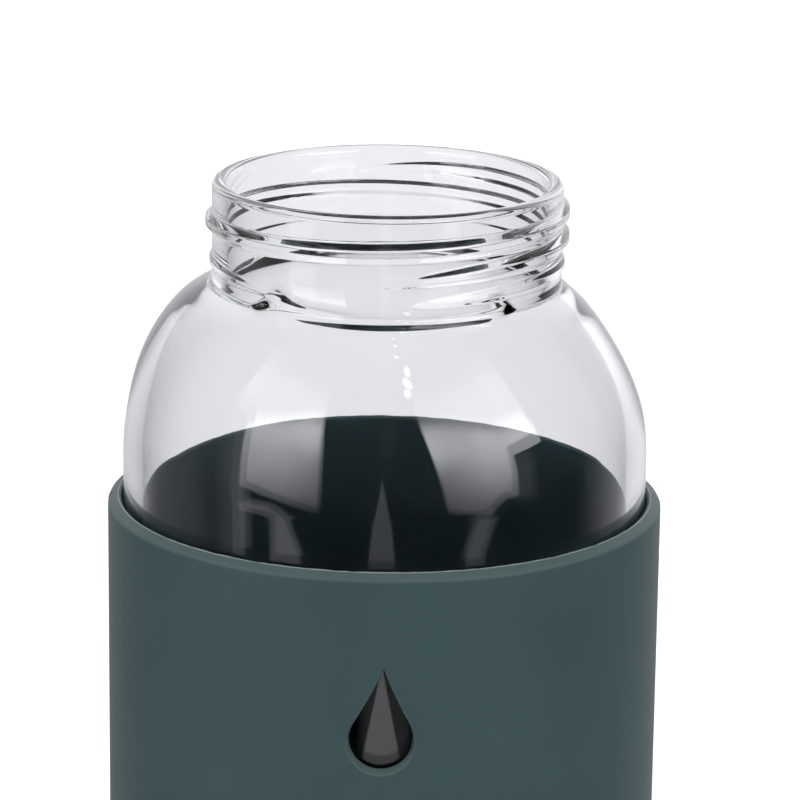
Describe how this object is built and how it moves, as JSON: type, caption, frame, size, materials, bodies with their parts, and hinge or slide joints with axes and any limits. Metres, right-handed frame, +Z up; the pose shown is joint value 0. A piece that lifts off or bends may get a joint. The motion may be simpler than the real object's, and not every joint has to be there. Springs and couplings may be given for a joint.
{
  "type": "glass water bottle",
  "caption": "Wide-mouth clear glass bottle with a round shoulder and screw-thread neck, in a slip-on silicone sleeve with a drop-shaped window; no lid.",
  "frame": {"origin": "centre of the sleeve's foot, on the surface the bottle stands on", "axes": "+Z up along the bottle's axis, -Y the front where the window is, +X to the right seen from the front"},
  "size_m": [0.088, 0.088, 0.2251],
  "materials": {
    "glass": "clear polished borosilicate",
    "silicone": "matte dark teal silicone"
  },
  "bodies": {
    "sleeve": {"silicone_sleeve": "silicone"},
    "bottle": {"glass_bottle": "glass"}
  },
  "joints": [
    {"name": "bottle_slide", "type": "slide", "parent": "sleeve", "child": "bottle", "axis": [0, 0, 1], "range_m": [0, 0.18]}
  ]
}
